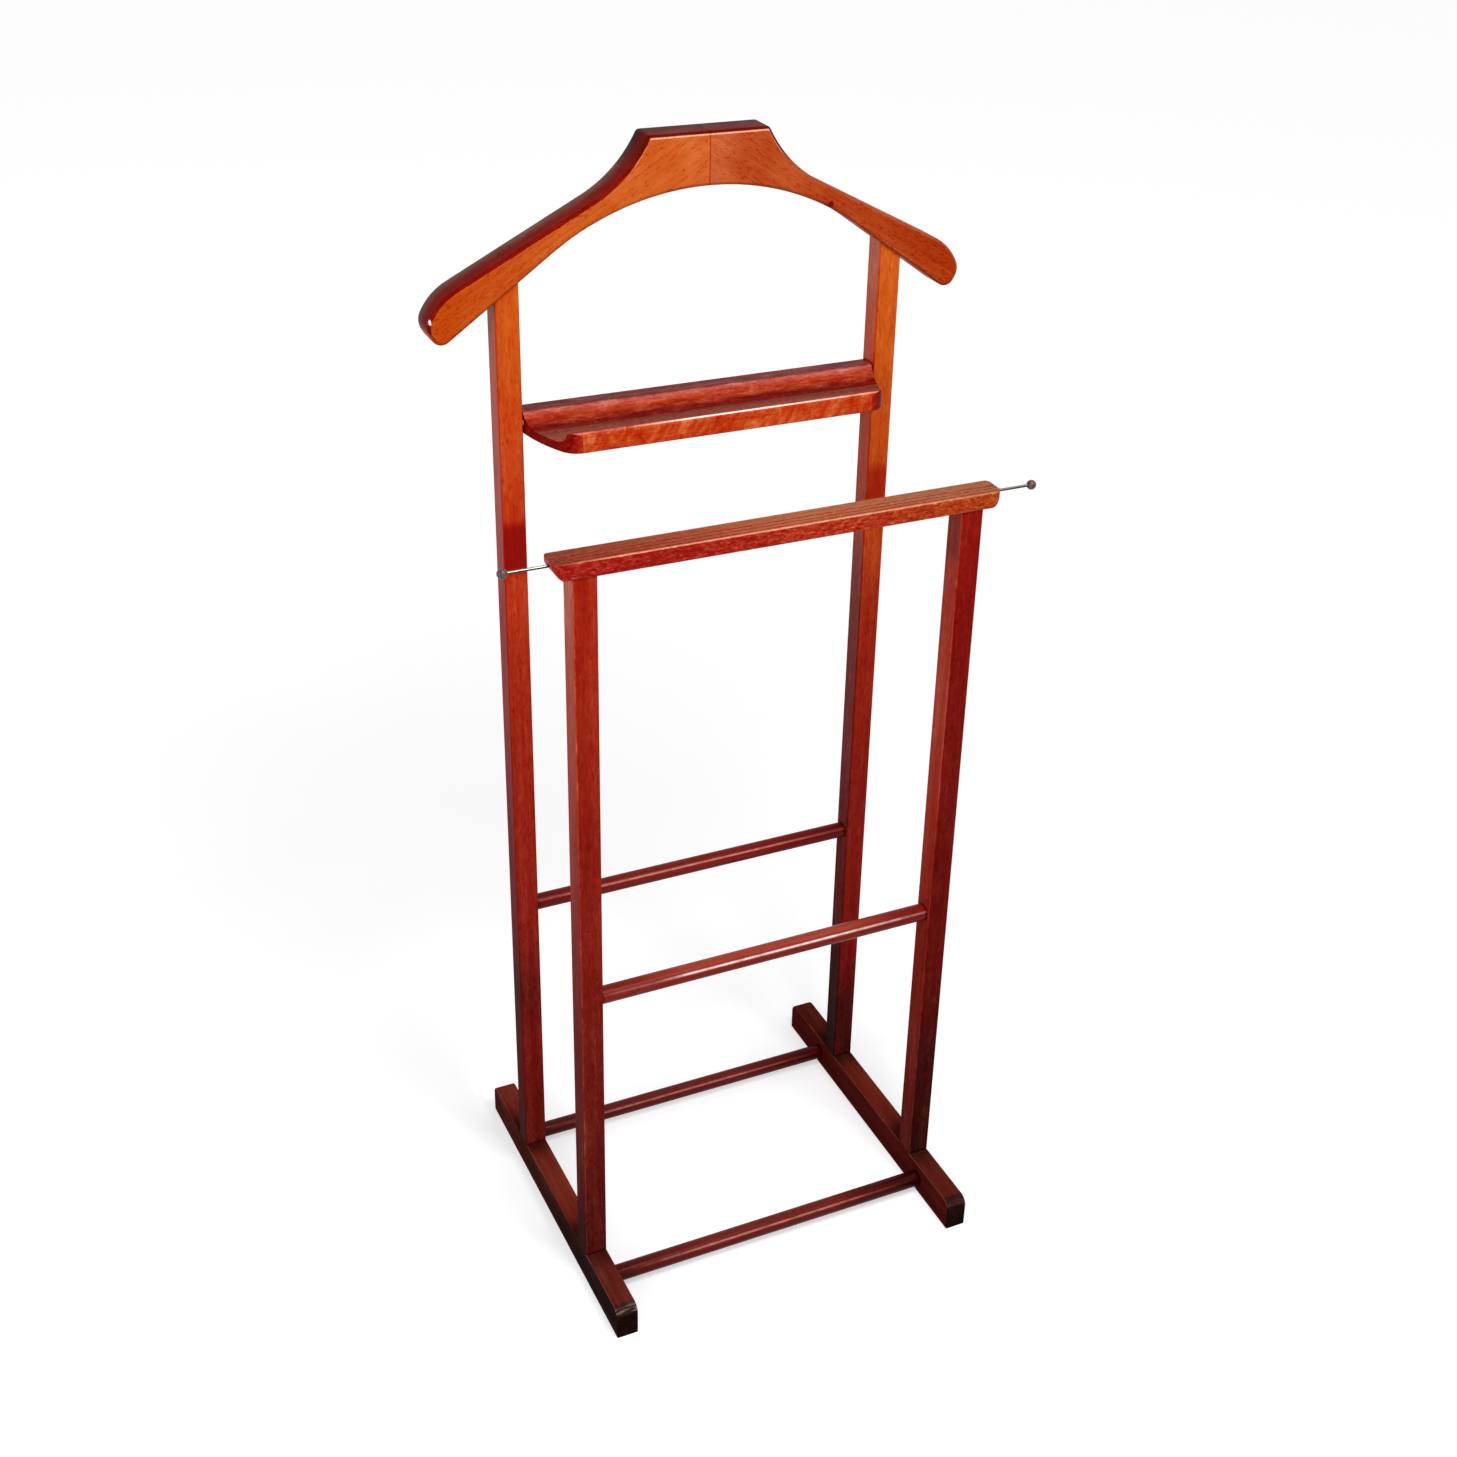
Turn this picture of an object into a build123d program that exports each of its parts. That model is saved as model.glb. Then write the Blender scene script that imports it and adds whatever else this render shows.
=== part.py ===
from build123d import *
import os
from math import cos, radians, sin, tan

# Wooden valet stand. Millimetres, +Z up, the front of the stand faces -Y.
# The origin is on the floor, midway between the runners and midway along them.

# Frame, taken over the outside faces of the posts
FRAME_WIDTH = 362.8

# Runners on the floor
RUNNER_LENGTH = 342.0
RUNNER_HEIGHT = 31.5
RUNNER_WIDTH = 20.5
RUNNER_END_RADIUS = 9.0
RUNNER_EDGE = 1.2

# Posts, set in from the runners' ends
POST_WIDTH = 20.5
FRONT_POST_DEPTH = 22.4
REAR_POST_DEPTH = 21.0
FRONT_POST_SETBACK = 77.2
REAR_POST_SETBACK = 79.2
POST_EDGE = 1.8

# Round rails between the two sides
FRONT_RAIL_DIAMETER = 16.0
REAR_RAIL_DIAMETER = 15.0
RAIL_SEAT = 10.0
FRONT_CROSS_RAIL_HEIGHT = 318.0
REAR_CROSS_RAIL_HEIGHT = 311.5
FRONT_BASE_RAIL_OFFSET = 17.2
REAR_BASE_RAIL_OFFSET = 11.2

# Coat hanger
HANGER_TOP = 1012.4
HANGER_PROUD = 4.0
HANGER_EDGE = 3.2
NECK_WIDTH = 105.0
NECK_DEPTH = 43.4
NECK_CORNER_RADIUS = 4.0
NECK_FLARE = 47.5
SHOULDER_DROP = 48.0
SHOULDER_ANGLE = 27.1
SHOULDER_RADIUS = 50.0
ARCH_RADIUS = 232.0
ARM_ANGLE = 35.5
ARM_REACH = 47.1
TIP_SETBACK = 0.5
TIP_REACH = 10.5
TIP_RISE = 18.0
TIP_RADIUS = 15.0
TIP_LOWER_RADIUS = 9.0

# Tray between the rear posts, its underside a set drop below the hanger's top
TRAY_DROP = 233.4
TRAY_WALL_HEIGHT = 19.0
TRAY_LIP_HEIGHT = 17.0
TRAY_FLOOR = 8.0
TRAY_BACK_INSET = 3.0
TRAY_WALL_SETBACK = 3.0
TRAY_COVE_DEPTH = 19.0
TRAY_PROJECTION = 55.5
TRAY_LIP_WIDTH = 5.5
TRAY_LIP_COVE = 8.0
TRAY_END_SETBACK = 10.0
TRAY_TAPER = 21.0
TRAY_END_BULGE = 4.0
TRAY_CORNER_RADIUS = 18.0
TRAY_EDGE = 1.0

# Trouser bar on the front posts
BAR_UNDERSIDE = 725.5
BAR_THICKNESS = 14.5
BAR_PROUD = 1.8
BAR_OVERHANG = 15.9
BAR_UNDERCUT = 8.5
BAR_CORNER_RADIUS = 6.0
BAR_EDGE = 1.2
GROOVE_COUNT = 3
GROOVE_PITCH = 5.1
GROOVE_WIDTH = 1.0
GROOVE_DEPTH = 0.5
GROOVE_MARGIN = 3.1

# Tie rods that pull out of the bar's ends
ROD_DIAMETER = 2.5
ROD_BELOW_TOP = 5.2
ROD_REACH_AT_REST = 36.2
ROD_STROKE = 140.0
KNOB_DIAMETER = 8.4
KNOB_SOCKET = 5.0
KNOB_GAP_PUSHED_IN = 0.5
BORE_DIAMETER = 5.0
BORE_END_GAP = 3.0
BUSH_LENGTH = 12.0
BUSH_RECESS = 8.0
STOP_LENGTH = 6.0
STOP_GAP_PULLED_OUT = 0.5

# Hidden wooden pins
PIN_DIAMETER = 6.0
THICK_PIN_DIAMETER = 8.0
HANGER_JOINT_PIN_LENGTH = 50.0
HANGER_JOINT_PIN_SPACING = 16.0
HANGER_POST_PIN_RISE = 14.0
HANGER_POST_PIN_DROP = 26.0
TRAY_PIN_LENGTH = 32.0
TRAY_PIN_SEAT = 12.0
TRAY_PIN_SPACING = 8.5
BAR_PIN_COVER = 5.0
BAR_PIN_DROP = 22.0
BAR_PIN_SPACING = 13.0
RUNNER_PIN_RISE = 22.0
RUNNER_PIN_DROP = 18.0
RUNNER_PIN_SPACING = 11.0

# Clearances
GLUE_GAP = 0.05
PIN_END_GAP = 1.0
RUNNING_CLEARANCE = 0.05
STOP_CLEARANCE = 0.3

# Places that several pieces share
SIDES = {"left": -1, "right": 1}
half_frame = FRAME_WIDTH / 2
post_x = half_frame - POST_WIDTH / 2
post_inner_x = half_frame - POST_WIDTH
runner_inner_x = half_frame - RUNNER_WIDTH
front_post_face = -RUNNER_LENGTH / 2 + FRONT_POST_SETBACK
front_post_back = front_post_face + FRONT_POST_DEPTH
front_post_y = front_post_face + FRONT_POST_DEPTH / 2
rear_post_back = RUNNER_LENGTH / 2 - REAR_POST_SETBACK
rear_post_face = rear_post_back - REAR_POST_DEPTH
rear_post_y = rear_post_back - REAR_POST_DEPTH / 2
base_rail_z = RUNNER_HEIGHT / 2
front_base_rail_y = front_post_face - FRONT_BASE_RAIL_OFFSET
rear_base_rail_y = rear_post_back + REAR_BASE_RAIL_OFFSET
hanger_thickness = REAR_POST_DEPTH + 2 * HANGER_PROUD
arch_top = HANGER_TOP - NECK_DEPTH
tray_underside = HANGER_TOP - TRAY_DROP
bar_depth = FRONT_POST_DEPTH + 2 * BAR_PROUD
bar_top = BAR_UNDERSIDE + BAR_THICKNESS
bar_end_x = half_frame + BAR_OVERHANG
rod_z = bar_top - ROD_BELOW_TOP
knob_x = bar_end_x + ROD_REACH_AT_REST
push_in_travel = ROD_REACH_AT_REST - KNOB_DIAMETER / 2 - KNOB_GAP_PUSHED_IN
pull_out_travel = ROD_STROKE - push_in_travel
bush_outer_x = bar_end_x - BUSH_RECESS
bush_inner_x = bush_outer_x - BUSH_LENGTH
stop_outer_x = bush_inner_x - STOP_GAP_PULLED_OUT - pull_out_travel
stop_inner_x = stop_outer_x - STOP_LENGTH
bore_bottom_x = stop_inner_x - push_in_travel - BORE_END_GAP


def block(x, y, z):
    """A box given by its low and high limits along each axis."""
    size = (x[1] - x[0], y[1] - y[0], z[1] - z[0])
    centre = ((x[0] + x[1]) / 2, (y[0] + y[1]) / 2, (z[0] + z[1]) / 2)
    return Pos(*centre) * Box(*size)


def rod_along_x(x, y, z, diameter):
    """A round bar from x[0] to x[1]."""
    middle = (x[0] + x[1]) / 2
    return Pos(middle, y, z) * Rot(0, 90, 0) * Cylinder(diameter / 2, x[1] - x[0])


def rod_along_z(x, y, z, diameter):
    """An upright round bar from z[0] to z[1]."""
    middle = (z[0] + z[1]) / 2
    return Pos(x, y, middle) * Cylinder(diameter / 2, z[1] - z[0])


def pair(centre, spacing):
    """Two places, half the spacing to each side of the centre."""
    return [centre - spacing / 2, centre + spacing / 2]


def mirrored(shape, side):
    """The right-hand shape, or its mirror image for the left."""
    return shape if side > 0 else mirror(shape, about=Plane.YZ)


def group(shapes):
    """Separate solids that share one node."""
    return Compound(children=list(shapes))


def hole_diameter(pin_diameter):
    """A glued pin's or rail's hole is wider by the glue gap all round."""
    return pin_diameter + 2 * GLUE_GAP


def xz_face(wire, thickness, y):
    """A closed outline in X and Z, made into a plate centred on y."""
    face = make_face(Plane.XZ * wire)
    return Pos(0, y, 0) * extrude(face, amount=thickness / 2, both=True)


# Right half of the hanger's underside: an arch, then a straight slope to the tip
arm_slope = tan(radians(ARM_ANGLE))
arch_end = Vector(
    ARCH_RADIUS * sin(radians(ARM_ANGLE)),
    arch_top - ARCH_RADIUS * (1 - cos(radians(ARM_ANGLE))),
)
underside_end_x = half_frame + ARM_REACH
underside_end = Vector(underside_end_x, arch_end.Y - arm_slope * (underside_end_x - arch_end.X))


def underside_height(x):
    """Height of the hanger's straight underside or its arch at x."""
    if x >= arch_end.X:
        return arch_end.Y - arm_slope * (x - arch_end.X)
    return arch_top - ARCH_RADIUS + (ARCH_RADIUS ** 2 - x ** 2) ** 0.5


def underside_arch():
    """The arch from the glue joint to where the straight slope begins."""
    return TangentArc(Vector(0, arch_top), arch_end, tangent=Vector(1, 0))


def hanger_half():
    """Right half of the hanger, with its long edges rounded."""
    neck_corner = Vector(NECK_WIDTH / 2, HANGER_TOP)
    shoulder_start = Vector(NECK_WIDTH / 2 + NECK_FLARE, HANGER_TOP - SHOULDER_DROP)
    shoulder_end_x = underside_end.X - TIP_SETBACK
    shoulder_fall = tan(radians(SHOULDER_ANGLE)) * (shoulder_end_x - shoulder_start.X)
    shoulder_end = Vector(shoulder_end_x, shoulder_start.Y - shoulder_fall)
    tip = Vector(underside_end.X + TIP_REACH, underside_end.Y + TIP_RISE)
    uphill = Vector(-cos(radians(SHOULDER_ANGLE)), sin(radians(SHOULDER_ANGLE)))
    outline = Line((0, arch_top), (0, HANGER_TOP))
    outline += Line((0, HANGER_TOP), neck_corner)
    outline += TangentArc(shoulder_start, neck_corner, tangent=uphill)
    outline += Polyline(shoulder_start, shoulder_end, tip, underside_end, arch_end)
    outline += underside_arch()
    face = make_face(outline)
    for corner, radius in (
        (neck_corner, NECK_CORNER_RADIUS),
        (shoulder_end, SHOULDER_RADIUS),
        (tip, TIP_RADIUS),
        (underside_end, TIP_LOWER_RADIUS),
    ):
        face = fillet(face.vertices().sort_by_distance(corner)[0], radius)
    plate = extrude(Plane.XZ * face, amount=hanger_thickness / 2, both=True)
    rims = plate.faces().filter_by(Axis.Y).edges()
    glue_joint_edges = rims.group_by(Axis.X)[0]
    half = Pos(0, rear_post_y, 0) * fillet(rims - glue_joint_edges, HANGER_EDGE)
    reach = HANGER_JOINT_PIN_LENGTH / 2 + PIN_END_GAP
    for z in hanger_joint_pin_heights():
        half -= rod_along_x((-reach, reach), rear_post_y, z, hole_diameter(THICK_PIN_DIAMETER))
    return half - hanger_post_pin(PIN_END_GAP, hole_diameter(THICK_PIN_DIAMETER))


def hanger_joint_pin_heights():
    """The two pins stand one above the other, midway in the neck."""
    return pair((arch_top + HANGER_TOP) / 2, HANGER_JOINT_PIN_SPACING)


def hanger_post_pin(end_gap, diameter):
    """Upright pin between the right rear post and the hanger, or its hole."""
    seam = underside_height(post_x)
    low = seam - HANGER_POST_PIN_DROP - end_gap
    high = seam + HANGER_POST_PIN_RISE + end_gap
    return rod_along_z(post_x, rear_post_y, (low, high), diameter)


def runner_pins(y, end_gap, diameter):
    """Two upright pins between a right-hand post and the runner, or their holes."""
    low = RUNNER_HEIGHT - RUNNER_PIN_DROP - end_gap
    high = RUNNER_HEIGHT + RUNNER_PIN_RISE + end_gap
    places = pair(y, RUNNER_PIN_SPACING)
    return [rod_along_z(post_x, place, (low, high), diameter) for place in places]


def bar_pins(end_gap, diameter):
    """Two upright pins between the right front post and the bar, or their holes."""
    low = BAR_UNDERSIDE - BAR_PIN_DROP - end_gap
    high = bar_top - BAR_PIN_COVER + end_gap
    places = pair(front_post_y, BAR_PIN_SPACING)
    return [rod_along_z(post_x, place, (low, high), diameter) for place in places]


def tray_pins(end_gap, diameter):
    """Two level pins between the tray's right end and the post, or their holes."""
    inner = post_inner_x + TRAY_PIN_SEAT - TRAY_PIN_LENGTH - end_gap
    outer = post_inner_x + TRAY_PIN_SEAT + end_gap
    middle = (rear_post_face + rear_post_back - TRAY_BACK_INSET) / 2
    z = tray_underside + TRAY_WALL_HEIGHT / 2
    places = pair(middle, TRAY_PIN_SPACING)
    return [rod_along_x((inner, outer), place, z, diameter) for place in places]


def rail(inner_x, y, z, diameter):
    """Round rail between two inner faces, seated in both sides."""
    reach = inner_x + RAIL_SEAT
    return rod_along_x((-reach, reach), y, z, diameter)


def rail_hole(inner_x, y, z, diameter):
    """Blind hole for a rail's end on the right-hand side."""
    depth = RAIL_SEAT + PIN_END_GAP
    mouth = inner_x - RAIL_SEAT
    return rod_along_x((mouth, inner_x + depth), y, z, hole_diameter(diameter))


def rear_post():
    """Right rear post, coped to the hanger's underside."""
    x = (post_inner_x, half_frame)
    post = block(x, (rear_post_face, rear_post_back), (RUNNER_HEIGHT, HANGER_TOP))
    post = fillet(post.edges().filter_by(Axis.Z), POST_EDGE)
    below_hanger = underside_arch()
    below_hanger += Polyline(arch_end, underside_end, (underside_end.X, 0), (0, 0), (0, arch_top))
    post &= xz_face(below_hanger, 2 * hanger_thickness, rear_post_y)
    post -= hanger_post_pin(PIN_END_GAP, hole_diameter(THICK_PIN_DIAMETER))
    post -= rail_hole(post_inner_x, rear_post_y, REAR_CROSS_RAIL_HEIGHT, REAR_RAIL_DIAMETER)
    post -= tray_pins(PIN_END_GAP, hole_diameter(PIN_DIAMETER))
    return post - runner_pins(rear_post_y, PIN_END_GAP, hole_diameter(PIN_DIAMETER))


def front_post():
    """Right front post, square under the trouser bar."""
    x = (post_inner_x, half_frame)
    post = block(x, (front_post_face, front_post_back), (RUNNER_HEIGHT, BAR_UNDERSIDE))
    post = fillet(post.edges().filter_by(Axis.Z), POST_EDGE)
    post -= rail_hole(post_inner_x, front_post_y, FRONT_CROSS_RAIL_HEIGHT, FRONT_RAIL_DIAMETER)
    post -= bar_pins(PIN_END_GAP, hole_diameter(PIN_DIAMETER))
    return post - runner_pins(front_post_y, PIN_END_GAP, hole_diameter(PIN_DIAMETER))


def runner():
    """Right runner: flat under, with the upper corners of its ends rounded."""
    half_length = RUNNER_LENGTH / 2
    bar = block((runner_inner_x, half_frame), (-half_length, half_length), (0, RUNNER_HEIGHT))
    bar = fillet(bar.edges().filter_by(Axis.X).group_by(Axis.Z)[-1], RUNNER_END_RADIUS)
    sides = bar.faces().filter_by(Axis.X).edges()
    bar = fillet(sides, RUNNER_EDGE)
    bar -= rail_hole(runner_inner_x, front_base_rail_y, base_rail_z, FRONT_RAIL_DIAMETER)
    bar -= rail_hole(runner_inner_x, rear_base_rail_y, base_rail_z, REAR_RAIL_DIAMETER)
    for y in (front_post_y, rear_post_y):
        bar -= runner_pins(y, PIN_END_GAP, hole_diameter(PIN_DIAMETER))
    return bar


def tray_section():
    """Tray section in Y and Z: rear wall, cove, floor, front lip."""
    back = rear_post_back - TRAY_BACK_INSET
    wall = rear_post_face + TRAY_WALL_SETBACK
    front = rear_post_face - TRAY_PROJECTION
    low = tray_underside
    floor = low + TRAY_FLOOR
    lip_radius = TRAY_LIP_WIDTH / 2
    lip_shoulder = low + TRAY_LIP_HEIGHT - lip_radius
    lip_back = front + TRAY_LIP_WIDTH
    cove_end = Vector(wall - TRAY_COVE_DEPTH, floor)
    lip_cove = Vector(lip_back + TRAY_LIP_COVE, floor)
    outline = Polyline((front, lip_shoulder), (front, low), (back, low), (back, low + TRAY_WALL_HEIGHT))
    outline += Line((back, low + TRAY_WALL_HEIGHT), (wall, low + TRAY_WALL_HEIGHT))
    outline += TangentArc(cove_end, (wall, low + TRAY_WALL_HEIGHT), tangent=Vector(1, 0))
    outline += Line(cove_end, lip_cove)
    outline += TangentArc(lip_cove, (lip_back, lip_shoulder), tangent=Vector(-1, 0))
    outline += ThreePointArc(
        (lip_back, lip_shoulder),
        (front + lip_radius, low + TRAY_LIP_HEIGHT),
        (front, lip_shoulder),
    )
    return extrude(Plane.YZ * make_face(outline), amount=half_frame, both=True)


def tray_plan():
    """Tray seen from above: square against the posts, drawn in towards the front."""
    back = rear_post_back - TRAY_BACK_INSET
    end_start = rear_post_face + TRAY_END_SETBACK
    front = rear_post_face - TRAY_PROJECTION
    front_x = post_inner_x - TRAY_TAPER
    bulge = Vector(end_start - front, TRAY_TAPER).normalized() * TRAY_END_BULGE
    outline = Polyline((-front_x, front), (front_x, front))
    outline += Polyline(
        (post_inner_x, end_start),
        (post_inner_x, back),
        (-post_inner_x, back),
        (-post_inner_x, end_start),
    )
    for side in SIDES.values():
        middle_x = (post_inner_x + front_x) / 2 + bulge.X
        middle_y = (end_start + front) / 2 - bulge.Y
        outline += ThreePointArc(
            (side * post_inner_x, end_start),
            (side * middle_x, middle_y),
            (side * front_x, front),
        )
    face = make_face(outline)
    front_corners = face.vertices().group_by(Axis.Y)[0]
    face = fillet(front_corners, TRAY_CORNER_RADIUS)
    return Pos(0, 0, tray_underside) * extrude(face, amount=TRAY_WALL_HEIGHT)


def tray():
    """Hollowed tray with pin holes in both ends."""
    body = tray_section() & tray_plan()
    under = body.faces().sort_by(Axis.Z)[0].edges()
    in_front = [edge for edge in under if edge.center().Y < rear_post_face]
    body = fillet(in_front, TRAY_EDGE)
    for side in SIDES.values():
        for hole in tray_pins(PIN_END_GAP, hole_diameter(PIN_DIAMETER)):
            body -= mirrored(hole, side)
    return body


def trouser_bar():
    """Flat bar with undercut ends, grooves along its front and a bore from each end."""
    low_end_x = bar_end_x - BAR_UNDERCUT
    side_view = Polyline((-low_end_x, BAR_UNDERSIDE), (low_end_x, BAR_UNDERSIDE))
    side_view += Line((-bar_end_x, bar_top), (bar_end_x, bar_top))
    for side in SIDES.values():
        side_view += TangentArc(
            (side * bar_end_x, bar_top),
            (side * low_end_x, BAR_UNDERSIDE),
            tangent=Vector(0, -1),
        )
    section = Plane.YZ * RectangleRounded(bar_depth, BAR_THICKNESS, BAR_EDGE)
    section = Pos(0, front_post_y, BAR_UNDERSIDE + BAR_THICKNESS / 2) * section
    bar = extrude(section, amount=bar_end_x, both=True)
    bar &= xz_face(side_view, 2 * bar_depth, front_post_y)
    plan = RectangleRounded(2 * bar_end_x, bar_depth, BAR_CORNER_RADIUS)
    bar &= Pos(0, front_post_y, BAR_UNDERSIDE) * extrude(plan, amount=BAR_THICKNESS)
    for index in range(GROOVE_COUNT):
        y = front_post_y - bar_depth / 2 + GROOVE_MARGIN + index * GROOVE_PITCH
        bar -= block(
            (-knob_x, knob_x),
            (y - GROOVE_WIDTH / 2, y + GROOVE_WIDTH / 2),
            (bar_top - GROOVE_DEPTH, bar_top + GROOVE_DEPTH),
        )
    bore = rod_along_x((bore_bottom_x, knob_x), front_post_y, rod_z, BORE_DIAMETER)
    for side in SIDES.values():
        bar -= mirrored(bore, side)
        for hole in bar_pins(PIN_END_GAP, hole_diameter(PIN_DIAMETER)):
            bar -= mirrored(hole, side)
    return bar


def tie_rod():
    """Right tie rod, from its stop collar to its seat in the knob."""
    socket_bottom = knob_x - KNOB_DIAMETER / 2 + KNOB_SOCKET - GLUE_GAP
    return rod_along_x((stop_inner_x, socket_bottom), front_post_y, rod_z, ROD_DIAMETER)


def knob():
    """Ball with a socket for the rod."""
    ball = Pos(knob_x, front_post_y, rod_z) * Sphere(KNOB_DIAMETER / 2)
    socket_x = (knob_x - KNOB_DIAMETER, knob_x - KNOB_DIAMETER / 2 + KNOB_SOCKET)
    return ball - rod_along_x(socket_x, front_post_y, rod_z, hole_diameter(ROD_DIAMETER))


def sleeve(x, outer, inner):
    """Round sleeve on the right tie rod's axis."""
    shell = rod_along_x(x, front_post_y, rod_z, outer)
    return shell - rod_along_x(x, front_post_y, rod_z, inner)


def rod_bush():
    """Guide bush set into the bar's bore."""
    outer = BORE_DIAMETER - 2 * GLUE_GAP
    return sleeve((bush_inner_x, bush_outer_x), outer, ROD_DIAMETER + 2 * RUNNING_CLEARANCE)


def rod_stop():
    """Collar that keeps the rod in the bar."""
    outer = BORE_DIAMETER - 2 * STOP_CLEARANCE
    return sleeve((stop_inner_x, stop_outer_x), outer, hole_diameter(ROD_DIAMETER))


def both_sides(shapes):
    """The right-hand shapes and their mirror images, as one group."""
    return group(mirrored(shape, side) for side in SIDES.values() for shape in shapes)


nodes = {
    "tray": tray(),
    "trouser_bar": trouser_bar(),
    "rear_cross_dowel": rail(post_inner_x, rear_post_y, REAR_CROSS_RAIL_HEIGHT, REAR_RAIL_DIAMETER),
    "front_cross_dowel": rail(post_inner_x, front_post_y, FRONT_CROSS_RAIL_HEIGHT, FRONT_RAIL_DIAMETER),
    "rear_base_dowel": rail(runner_inner_x, rear_base_rail_y, base_rail_z, REAR_RAIL_DIAMETER),
    "front_base_dowel": rail(runner_inner_x, front_base_rail_y, base_rail_z, FRONT_RAIL_DIAMETER),
    "hanger_post_dowels": both_sides([hanger_post_pin(0, THICK_PIN_DIAMETER)]),
    "tray_dowels": both_sides(tray_pins(0, PIN_DIAMETER)),
    "bar_post_dowels": both_sides(bar_pins(0, PIN_DIAMETER)),
    "runner_post_dowels": both_sides(
        runner_pins(front_post_y, 0, PIN_DIAMETER) + runner_pins(rear_post_y, 0, PIN_DIAMETER)
    ),
    "hanger_joint_dowels": group(
        rod_along_x(
            (-HANGER_JOINT_PIN_LENGTH / 2, HANGER_JOINT_PIN_LENGTH / 2),
            rear_post_y,
            z,
            THICK_PIN_DIAMETER,
        )
        for z in hanger_joint_pin_heights()
    ),
}

right_hand_pieces = {
    "hanger_{}_half": hanger_half(),
    "rear_post_{}": rear_post(),
    "front_post_{}": front_post(),
    "runner_{}": runner(),
    "tie_rod_{}": tie_rod(),
    "knob_{}": knob(),
    "rod_bush_{}": rod_bush(),
    "rod_stop_{}": rod_stop(),
}
for name, shape in right_hand_pieces.items():
    for side_name, side in SIDES.items():
        nodes[name.format(side_name)] = mirrored(shape, side)

os.makedirs("parts", exist_ok=True)
for name, shape in nodes.items():
    export_step(shape, f"parts/{name}.step")
print(f"rods: {push_in_travel:.2f} mm in, {pull_out_travel:.2f} mm out from rest")
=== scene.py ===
import math

import bpy
from mathutils import Matrix, Vector


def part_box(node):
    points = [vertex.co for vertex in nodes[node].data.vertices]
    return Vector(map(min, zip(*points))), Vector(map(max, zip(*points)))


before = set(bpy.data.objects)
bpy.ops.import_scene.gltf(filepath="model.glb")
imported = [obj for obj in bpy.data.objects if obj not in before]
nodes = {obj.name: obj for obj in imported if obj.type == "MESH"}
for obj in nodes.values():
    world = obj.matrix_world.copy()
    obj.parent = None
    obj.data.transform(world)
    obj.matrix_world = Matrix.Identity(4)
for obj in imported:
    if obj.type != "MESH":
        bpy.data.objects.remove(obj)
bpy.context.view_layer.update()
scene = bpy.context.scene

# The photograph's camera, in metres, degrees and pixels of the 1457 pixel frame
FRAME_PIXELS = 1457
CAMERA_PLACE = Vector((-0.6554, -1.3884, 1.3876))
CAMERA_YAW = 26.74
CAMERA_PITCH = -29.085
CAMERA_ROLL = 2.087
FOCAL_PIXELS = 2001.9
PRINCIPAL_POINT = (778.2, 702.2)
SENSOR_MM = 36.0

# The world's level, and the softboxes with their place, aim and size in metres, and their watts
WORLD_LEVEL = 0.36
SOFTBOXES = {
    "key": (Vector((0.15, -1.05, 2.05)), Vector((0.0, 0.0, 0.62)), 0.8, 22.0),
    "fill": (Vector((-0.9, -2.2, 1.2)), Vector((0.0, 0.0, 0.6)), 1.6, 11.0),
    "side": (Vector((-2.0, -0.7, 1.2)), Vector((0.0, 0.0, 0.7)), 1.0, 13.0),
}

# The floor's grey where it is seen and where it lights the object, and its glow by distance in metres
FLOOR_SIZE = 60.0
FLOOR_GREY = 0.8
FLOOR_BOUNCE_GREY = 0.4
FLOOR_GLOW_NEAR = 0.46
FLOOR_GLOW_FAR = 0.68
FLOOR_GLOW_START = 0.35
FLOOR_GLOW_END = 2.4

MM = 0.001

# A noise's middle, and the range that most of it keeps to
NOISE_MIDDLE = 0.5
NOISE_LOW, NOISE_HIGH = 0.3, 0.7

# Numbers of the Mix node's colour sockets, which share their names with its other sockets
MIX_FIRST, MIX_SECOND, MIX_RESULT = 6, 7, 2


def linear(red, green, blue):
    """A colour read off a screen, 0 to 255, as the linear colour that shaders take."""
    def channel(value):
        share = value / 255
        return share / 12.92 if share <= 0.04045 else ((share + 0.055) / 1.055) ** 2.4
    return (channel(red), channel(green), channel(blue), 1.0)


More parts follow.
